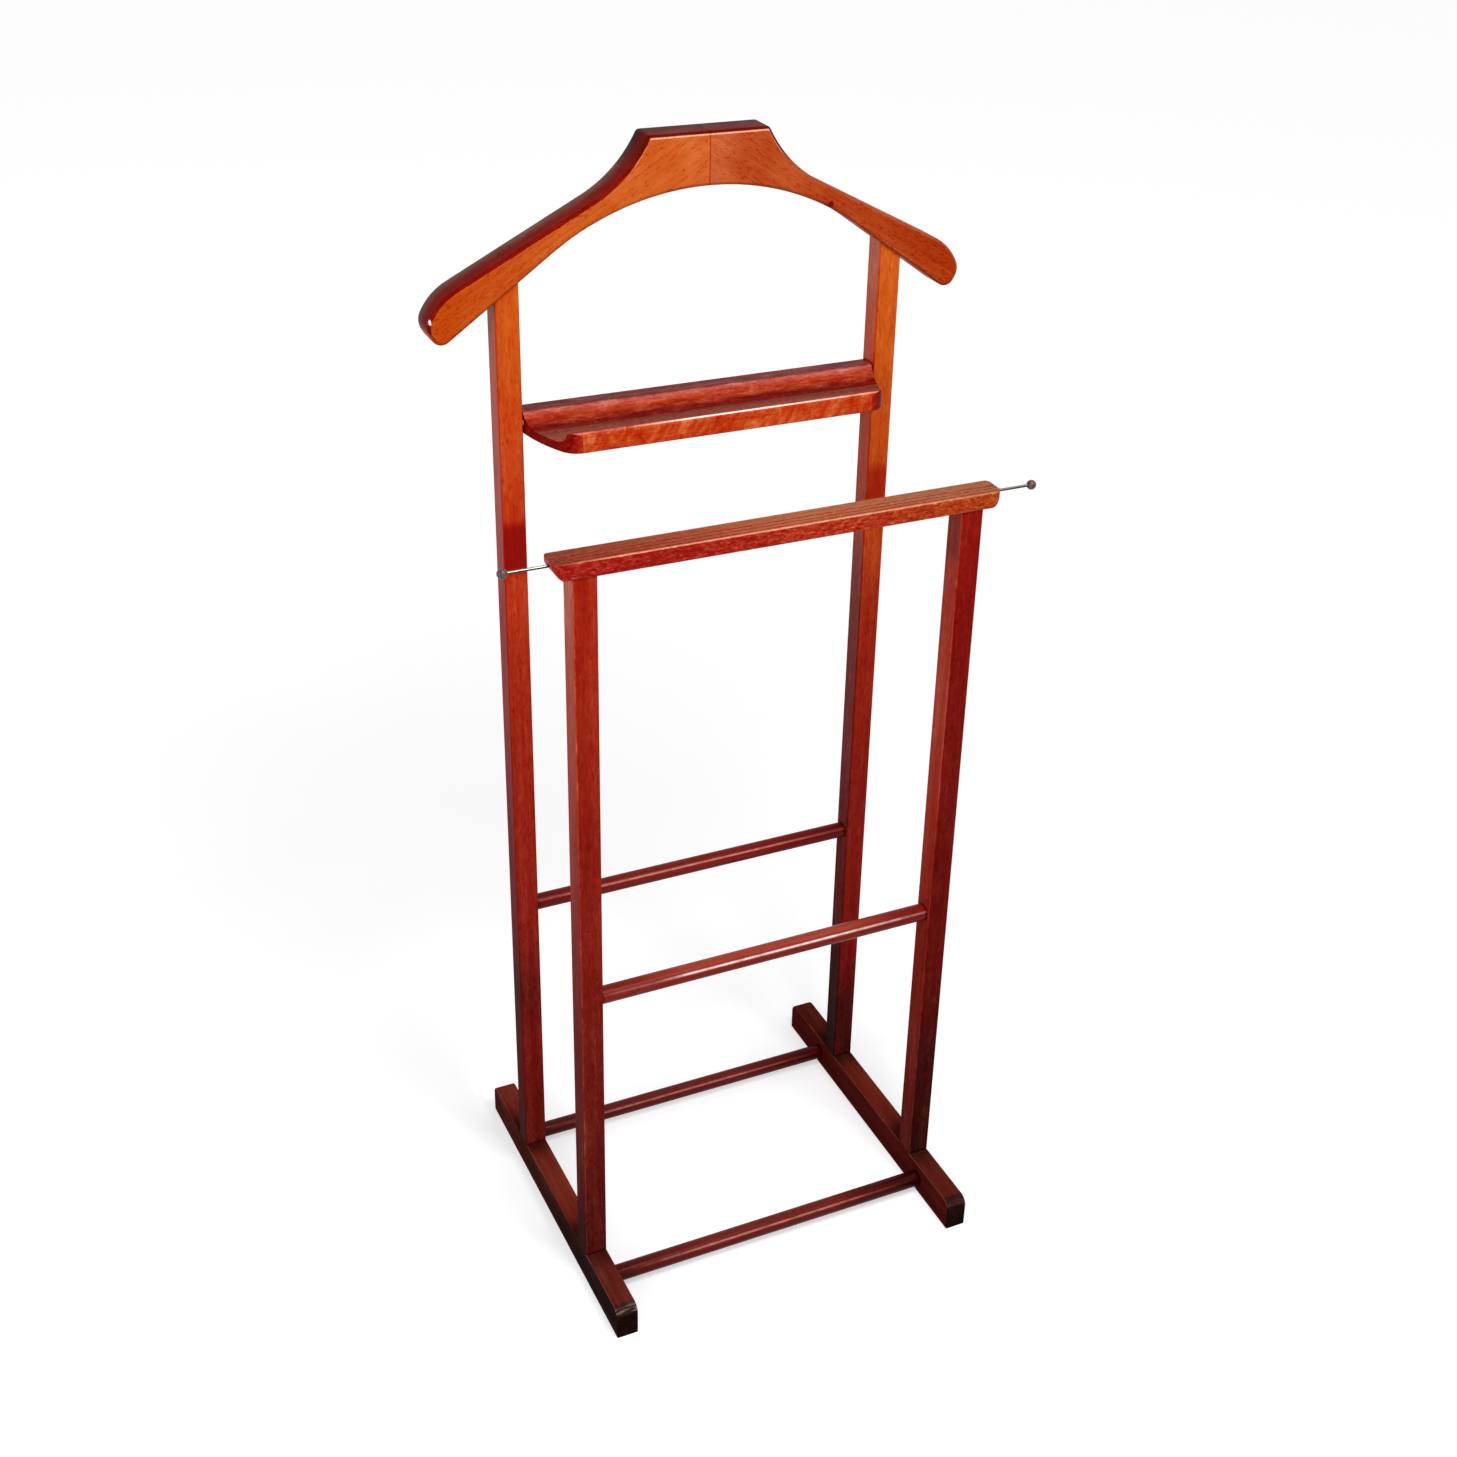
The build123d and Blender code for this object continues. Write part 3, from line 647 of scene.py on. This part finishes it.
def bar_wood():
    """The varnish is gone from the top; a painted highlight runs along the rounded front edge and painted
    shade fills the grooves; the sides are red and mottled.
    """
    wood = Wood("trouser_bar", GRAIN_X, BAR_SEED)
    fibres, lines, pores = wood.fibres(), wood.lines(), wood.pores(BAR_PORE_SHARE)
    mottle = wood.along_grain(230, 480, detail=3.0, roughness=0.6, distortion=0.6)
    place = wood.axes(wood.object_place)
    along = wood.span(place[0], -BAR_REACH, BAR_REACH)
    upward = wood.facing()[2]
    on_top = wood.span(upward, 0.55, 0.9)
    stain = wood.blend(on_top, wood.ramp(along, BAR_SIDE_STAIN), wood.ramp(along, BAR_TOP_STAIN))
    # Painted shade in the grooves
    in_groove = wood.span(place[2], *BAR_GROOVE_HEIGHT, 1.0, 0.0)
    grooved = wood.both(in_groove, wood.span(upward, 0.97, 0.995))
    stain = wood.blend(wood.both(grooved, 0.6), stain, BAR_GROOVE)
    # A painted highlight along the rounded front edge
    painted_highlight = wood.both(wood.span(upward, 0.2, 0.4), wood.span(upward, 0.995, 0.95))
    painted_highlight = wood.both(painted_highlight, wood.span(along, 0.0, 0.12))
    painted_light = wood.both(painted_highlight, wood.span(along, 0.82, 0.9, 1.0, 0.5))
    stain = wood.blend(wood.both(painted_light, 0.8), stain, BAR_EDGE_HIGHLIGHT)
    varnished = wood.math("SUBTRACT", 1.0, wood.both(on_top, 0.6))
    density = wood.density(
        noises=[(fibres, 0.4), (lines, 0.3)],
        marks=[(wood.both(wood.swing(mottle), varnished), 1.8), (wood.both(pores, varnished), 0.4)],
    )
    roughness = wood.span(upward, 0.4, 0.9, 0.38, 0.55)
    return wood.varnish(stain, density, roughness, BAR_SHEEN, fibres, pores)


# How deep a rail sits in its socket, and the dark ring's distances from there
RAIL_SEAT = 10.0 * MM
RAIL_RING = (2.5 * MM, 0.5 * MM)
RAIL_RING_DENSITY = 0.6
# The painted highlight line and its halo, by how nearly a normal points along the line's tilt
RAIL_LINE, RAIL_LINE_SHARE = (0.989, 0.998), 0.92
RAIL_HALO, RAIL_HALO_SHARE = (0.95, 0.995), 0.08
RAIL_LINE_FADE = 20 * MM
# Painted light on the rail's top
RAIL_TOP_LIGHT = linear(158, 63, 46)
RAIL_SHEEN = 0.07


class RailLook:
    """One rail's stain, each end's density of painted shade and its painted highlight line.

    The line has a colour, a strength in the middle and at the ends, a tilt up from the front in
    degrees, and a place where it starts. The last value is how strongly painted light pales the rail's
    top.
    """

    def __init__(self, stain, densities, painted_highlight, rub, tilt, line_start=-0.2, painted_light=0.0):
        self.stain, self.painted_highlight = linear(*stain), linear(*painted_highlight)
        self.left_density, self.right_density = densities
        self.middle_rub, self.end_highlight = rub
        self.tilt, self.line_start, self.painted_light = math.radians(tilt), line_start, painted_light


RAIL_LOOKS = {
    "front_cross_dowel": RailLook(
        (132, 33, 24), (0.0, 0.15), (253, 228, 222), rub=(1.0, 0.2), tilt=30, line_start=-0.105, painted_light=1.0
    ),
    "rear_cross_dowel": RailLook((122, 28, 23), (0.2, 0.25), (240, 166, 156), rub=(0.62, 0.2), tilt=37),
    "front_base_dowel": RailLook(
        (108, 30, 23), (0.3, 0.85), (230, 157, 143), rub=(0.6, 0.0), tilt=39, line_start=-0.15, painted_light=0.1
    ),
    "rear_base_dowel": RailLook((104, 29, 23), (0.2, 0.5), (230, 148, 138), rub=(0.56, 0.0), tilt=38),
}


def rail_wood(node, seed):
    """Glossy round rail with a painted highlight along its upper front, painted light on its top, painted
    shade towards its ends and a dark ring at each end.
    """
    look = RAIL_LOOKS[node]
    wood = Wood(node, GRAIN_X, seed)
    fibres, streaks, pores = wood.fibres(), wood.streaks(), wood.pores()
    scuffs = wood.span(wood.along_grain(60, 420, detail=3.0), 0.54, 0.7)
    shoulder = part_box(node)[1][0] - RAIL_SEAT
    across = wood.axes(wood.object_place)[0]
    reach = wood.math("ABSOLUTE", across)
    ring = wood.span(reach, shoulder - RAIL_RING[0], shoulder - RAIL_RING[1])
    normal = wood.facing()
    towards = wood.math(
        "MULTIPLY_ADD", normal[2], math.sin(look.tilt), wood.both(normal[1], -math.cos(look.tilt))
    )
    patches = wood.noise(wood.scaled(wood.grain_place, (60, 0, 0)), detail=3.0, roughness=0.6)
    broken = wood.span(patches, 0.35, 0.6, 0.5, 1.0)
    # The painted highlight line along the upper front
    line = wood.both(wood.span(towards, *RAIL_LINE, smooth=True), RAIL_LINE_SHARE)
    halo = wood.span(towards, *RAIL_HALO, smooth=True)
    painted_highlight = wood.math("MULTIPLY_ADD", halo, RAIL_HALO_SHARE, line)
    rub = wood.span(reach, 0.4 * shoulder, shoulder, look.middle_rub, look.end_highlight)
    rub = wood.both(rub, wood.span(across, look.line_start, look.line_start + RAIL_LINE_FADE, 0.25, 1.0))
    painted_highlight = wood.both(wood.both(painted_highlight, broken), rub)
    # The top paler with painted light
    above = wood.both(wood.span(normal[2], 0.5, 0.75), wood.span(towards, 0.97, 0.93))
    painted_light = wood.both(above, wood.span(reach, 0.5 * shoulder, 0.8 * shoulder, look.painted_light, 0.0))
    stain = wood.blend(painted_highlight, wood.blend(painted_light, look.stain, RAIL_TOP_LIGHT), look.painted_highlight)
    density = wood.density(
        noises=[(fibres, 0.4), (streaks, 0.5)],
        marks=[
            (pores, 0.25),
            (ring, RAIL_RING_DENSITY),
            # Denser towards each end: painted shade
            (wood.span(across, -0.4 * shoulder, -shoulder), look.left_density),
            (wood.span(across, 0.4 * shoulder, shoulder), look.right_density),
        ],
    )
    roughness = wood.span(scuffs, 0.0, 1.0, 0.2, 0.45)
    return wood.varnish(stain, density, roughness, RAIL_SHEEN, fibres, pores)


class RunnerLook:
    """One runner's stain with painted shade on its left side, at the front and at the back, and its
    scuffed rounding.

    The last value is how far the top darkens towards the back.
    """

    def __init__(self, front, back, scuff, dark_back):
        self.front, self.back, self.scuff = (linear(*c) for c in (front, back, scuff))
        self.dark_back = dark_back


RUNNER_LOOKS = {
    "runner_left": RunnerLook((31, 13, 9), (82, 33, 26), (138, 120, 114), dark_back=0.0),
    "runner_right": RunnerLook((80, 20, 15), (84, 21, 16), (72, 40, 37), dark_back=0.5),
}
# The sides are darker than the top with painted shade
RUNNER_SIDE, RUNNER_UPPER = linear(46, 18, 13), linear(119, 42, 30)
RUNNER_TOE, RUNNER_ROUND_POSTS, RUNNER_RUBBED = linear(88, 32, 24), linear(54, 19, 13), linear(140, 78, 66)
RUNNER_END, RUNNER_END_TOP = linear(29, 14, 11), linear(54, 29, 25)
RUNNER_BORDER = linear(74, 18, 30)
# Along the runner: the painted shade round a post, the toe, the dark back and the end's border
RUNNER_BEFORE_POST, RUNNER_BEHIND_POST, RUNNER_POST_FADE = 1 * MM, 10 * MM, 24 * MM
RUNNER_TOE_FADE = 12 * MM
RUNNER_BACK = (25 * MM, 65 * MM)
RUNNER_BORDER_FROM_END = (10.2 * MM, 9.4 * MM)
SCUFFS_PER_METRE = (70, 420, 420)
RUNNER_SHEEN = 0.015


def runner_wood(node, seed):
    """Dark dull runner, with painted shade on its sides and round the posts, darker at its front end, with
    the rounding scuffed.
    """
    look = RUNNER_LOOKS[node]
    wood = Wood(node, GRAIN_Y, seed)
    fibres, lines, streaks, pores = wood.fibres(), wood.lines(), wood.streaks(), wood.pores()
    figure = wood.figure(14.0, 40.0)
    normal = wood.facing()
    low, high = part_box(node)
    along = wood.axes(wood.object_place)[1]
    from_end = wood.math("SUBTRACT", along, low[1])
    end_grain = wood.span(normal[1], -0.06, -0.16)
    left = wood.blend(wood.span(along, 0.3 * low[1], 0.8 * high[1]), look.front, look.back)
    # Sides darker than the top: painted shade
    sides = wood.blend(wood.span(normal[0], -0.3, -0.6), RUNNER_SIDE, left)
    upward = wood.span(normal[2], 0.3, 0.8)
    posts = [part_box(f"{place}_post_left") for place in ("front", "rear")]
    near_posts = [
        wood.band(along, front[1] - RUNNER_BEFORE_POST, back[1] + RUNNER_BEHIND_POST, RUNNER_POST_FADE)
        for front, back in posts
    ]
    toe_from = posts[0][0][1]
    toe = wood.span(along, toe_from, toe_from - RUNNER_TOE_FADE)
    upper = wood.blend(wood.both(toe, 0.8), RUNNER_UPPER, RUNNER_TOE)
    towards_back = wood.both(wood.span(along, *RUNNER_BACK), look.dark_back)
    upper = wood.blend(towards_back, upper, RUNNER_ROUND_POSTS)
    # Painted shade round the feet of the posts
    upper = wood.blend(wood.both(wood.math("MAXIMUM", *near_posts), 0.85), upper, RUNNER_ROUND_POSTS)
    stain = wood.blend(upward, sides, upper)
    border = wood.both(wood.span(from_end, *RUNNER_BORDER_FROM_END), upward)
    stain = wood.blend(wood.both(border, 0.8), stain, RUNNER_BORDER)
    end_stain = wood.blend(wood.span(normal[2], 0.15, 0.6), RUNNER_END, RUNNER_END_TOP)
    stain = wood.blend(end_grain, stain, end_stain)
    edge = wood.both(wood.band(normal[2], 0.4, 0.85, 0.1), wood.band(normal[0], -0.85, -0.4, 0.1))
    edge = wood.both(edge, wood.span(wood.along_grain(45, 300), 0.4, 0.6, 0.2, 0.6))
    stain = wood.blend(edge, stain, RUNNER_RUBBED)
    scuff_noise = wood.noise(wood.scaled(wood.object_place, SCUFFS_PER_METRE), detail=3.0)
    on_rounding = wood.band(normal[2], 0.5, 0.8, 0.2)
    scuffs = wood.both(wood.span(scuff_noise, 0.4, 0.65, smooth=True), on_rounding)
    stain = wood.blend(wood.both(scuffs, end_grain), stain, look.scuff)
    density = wood.density(
        noises=[(fibres, 0.3), (lines, 0.3), (streaks, 0.4), (figure, 0.3)],
        marks=[(pores, 0.2)],
    )
    return wood.varnish(stain, density, wood.varied(figure, 0.78, 0.9), RUNNER_SHEEN, fibres, pores)


BARE_BEECH = linear(206, 168, 124)
STEEL = [(0.35, (128, 122, 114)), (0.65, (166, 160, 152))]
ROD_UNDERSIDE_SHADE = linear(40, 34, 30)
LACQUER = [(0.35, (54, 37, 33)), (0.7, (110, 79, 70))]
LACQUER_SPECK = linear(168, 150, 140)
BRASS = [(0.3, (160, 124, 66)), (0.7, (202, 168, 98))]


def pin_wood(node):
    """Bare beech, for the pins inside the joints."""
    wood = Wood(node, GRAIN_X, PIN_SEED)
    fibres, pores = wood.fibres(), wood.pores()
    density = wood.density(noises=[(fibres, 0.6)], marks=[(pores, 0.6)])
    return wood.finish(
        Base_Color=wood.stained(BARE_BEECH, density),
        Roughness=wood.varied(fibres, 0.55, 0.7),
        Normal=wood.relief(fibres),
    )


def drawn_steel():
    """Bright rod with fine draw lines and dull patches, with painted shade underneath."""
    shader = Shader(bpy.data.materials.new("rod_steel"))
    lines = shader.noise(shader.scaled(shader.place(), (12, 5200, 5200)))
    patches = shader.noise(shader.scaled(shader.place(), (24, 300, 300)))
    # Darker underneath: painted shade
    below = shader.span(shader.facing()[2], 0.6, 0.1)
    colour = shader.blend(below, shader.ramp(patches, STEEL), ROD_UNDERSIDE_SHADE)
    roughness = shader.math("MULTIPLY_ADD", patches, 0.2, shader.varied(lines, 0.12, 0.26))
    return shader.finish(Base_Color=colour, Roughness=roughness, Metallic=1.0)


def knob_lacquer():
    """Dark brown lacquer over metal, with the metal showing through in places."""
    shader = Shader(bpy.data.materials.new("knob_metal"))
    cloud = shader.noise(shader.scaled(shader.place(), (260, 260, 260)), detail=4.0)
    speck = shader.noise(shader.scaled(shader.place(), (1400, 1400, 1400)))
    colour = shader.blend(shader.span(speck, 0.66, 0.74), shader.ramp(cloud, LACQUER), LACQUER_SPECK)
    return shader.finish(Base_Color=colour, Roughness=shader.varied(cloud, 0.25, 0.45), Metallic=0.35)


def turned_brass():
    """Brass with fine turning rings, for the bushes and the stop collars."""
    shader = Shader(bpy.data.materials.new("bush_brass"))
    rings = shader.noise(shader.scaled(shader.place(), (4200, 60, 60)))
    colour, roughness = shader.ramp(rings, BRASS), shader.varied(rings, 0.22, 0.4)
    return shader.finish(Base_Color=colour, Roughness=roughness, Metallic=1.0)


def dress(node, material):
    """Puts one material on every slot of a node."""
    mesh = nodes[node].data
    mesh.materials.clear()
    mesh.materials.append(material)


SIDES = (("left", -1), ("right", 1))
for side_name, side in SIDES:
    dress(f"hanger_{side_name}_half", hanger_wood(f"hanger_{side_name}_half", side, HANGER_SEED + side))
    dress(f"rear_post_{side_name}", post_wood(f"rear_post_{side_name}", side, REAR_POST_SEED + side))
    dress(f"front_post_{side_name}", post_wood(f"front_post_{side_name}", side, FRONT_POST_SEED + side))
    dress(f"runner_{side_name}", runner_wood(f"runner_{side_name}", RUNNER_SEED + side))
dress("tray", tray_wood())
dress("trouser_bar", bar_wood())
for seed, node in enumerate(RAIL_LOOKS, start=FIRST_RAIL_SEED):
    dress(node, rail_wood(node, seed))
for name in ("hanger_joint", "hanger_post", "tray", "bar_post", "runner_post"):
    dress(f"{name}_dowels", pin_wood(f"{name}_dowels"))
steel, lacquer, brass = drawn_steel(), knob_lacquer(), turned_brass()
for side_name, _ in SIDES:
    dress(f"tie_rod_{side_name}", steel)
    dress(f"knob_{side_name}", lacquer)
    dress(f"rod_bush_{side_name}", brass)
    dress(f"rod_stop_{side_name}", brass)


def floor_material():
    """Pale floor that glows white to the camera far from the object and keeps the object's shadow."""
    shader = Shader(bpy.data.materials.new("floor"))
    seen = shader.seen()
    grain = shader.noise(shader.scaled(shader.place(), (300, 300, 300)))
    grey = shader.math("MULTIPLY_ADD", seen, FLOOR_GREY - FLOOR_BOUNCE_GREY, FLOOR_BOUNCE_GREY)
    grey = shader.math("MULTIPLY", grey, shader.span(grain, 0.0, 1.0, 0.995, 1.005))
    diffuse = shader.node("ShaderNodeBsdfDiffuse")
    shader.feed(diffuse.inputs["Color"], grey)
    length = shader.node("ShaderNodeVectorMath", operation="LENGTH")
    shader.feed(length.inputs[0], shader.place())
    glow = shader.span(
        length.outputs["Value"],
        FLOOR_GLOW_START,
        FLOOR_GLOW_END,
        FLOOR_GLOW_NEAR,
        FLOOR_GLOW_FAR,
        smooth=True,
    )
    emission = shader.node("ShaderNodeEmission")
    shader.feed(emission.inputs["Strength"], shader.math("MULTIPLY", glow, seen))
    total = shader.node("ShaderNodeAddShader")
    shader.feed(total.inputs[0], diffuse.outputs[0])
    shader.feed(total.inputs[1], emission.outputs[0])
    output = shader.node("ShaderNodeOutputMaterial")
    shader.feed(output.inputs[0], total.outputs[0])
    return shader.owner


def make_floor():
    half = FLOOR_SIZE / 2
    mesh = bpy.data.meshes.new("floor")
    corners = [(-half, -half, 0), (half, -half, 0), (half, half, 0), (-half, half, 0)]
    mesh.from_pydata(corners, [], [(0, 1, 2, 3)])
    mesh.materials.append(floor_material())
    floor = bpy.data.objects.new("floor", mesh)
    scene.collection.objects.link(floor)


def softbox(name, place, aim, size, watts):
    light = bpy.data.lights.new(name, "AREA")
    light.shape = "DISK"
    light.size = size
    light.energy = watts
    lamp = bpy.data.objects.new(name, light)
    lamp.location = place
    lamp.rotation_mode = "QUATERNION"
    lamp.rotation_quaternion = (aim - place).to_track_quat("-Z", "Y")
    lamp.visible_camera = False
    scene.collection.objects.link(lamp)


def make_world():
    """White to the camera, and a plain level of light on the object."""
    shader = Shader(bpy.data.worlds.new("studio"))
    background = shader.node("ShaderNodeBackground")
    background.inputs["Color"].default_value = (1.0, 1.0, 1.0, 1.0)
    shader.feed(background.inputs["Strength"], shader.span(shader.seen(), 0.0, 1.0, WORLD_LEVEL, 1.0))
    output = shader.node("ShaderNodeOutputWorld")
    shader.feed(output.inputs[0], background.outputs[0])
    scene.world = shader.owner


def light_scene():
    make_world()
    for name, settings in SOFTBOXES.items():
        softbox(name, *settings)
    scene.view_settings.view_transform = "Standard"


def make_camera():
    yaw, pitch, roll = (math.radians(d) for d in (CAMERA_YAW, CAMERA_PITCH, CAMERA_ROLL))
    forward = Vector(
        (math.sin(yaw) * math.cos(pitch), math.cos(yaw) * math.cos(pitch), math.sin(pitch))
    )
    level = Vector((math.cos(yaw), -math.sin(yaw), 0.0))
    above = level.cross(forward)
    right = level * math.cos(roll) + above * math.sin(roll)
    up = above * math.cos(roll) - level * math.sin(roll)
    data = bpy.data.cameras.new("camera")
    data.sensor_width = SENSOR_MM
    data.lens = FOCAL_PIXELS / FRAME_PIXELS * SENSOR_MM
    data.shift_x = 0.5 - PRINCIPAL_POINT[0] / FRAME_PIXELS
    data.shift_y = PRINCIPAL_POINT[1] / FRAME_PIXELS - 0.5
    camera = bpy.data.objects.new("camera", data)
    turn = Matrix((right, up, -forward)).transposed().to_4x4()
    camera.matrix_world = Matrix.Translation(CAMERA_PLACE) @ turn
    scene.collection.objects.link(camera)
    scene.camera = camera


make_floor()
light_scene()
make_camera()
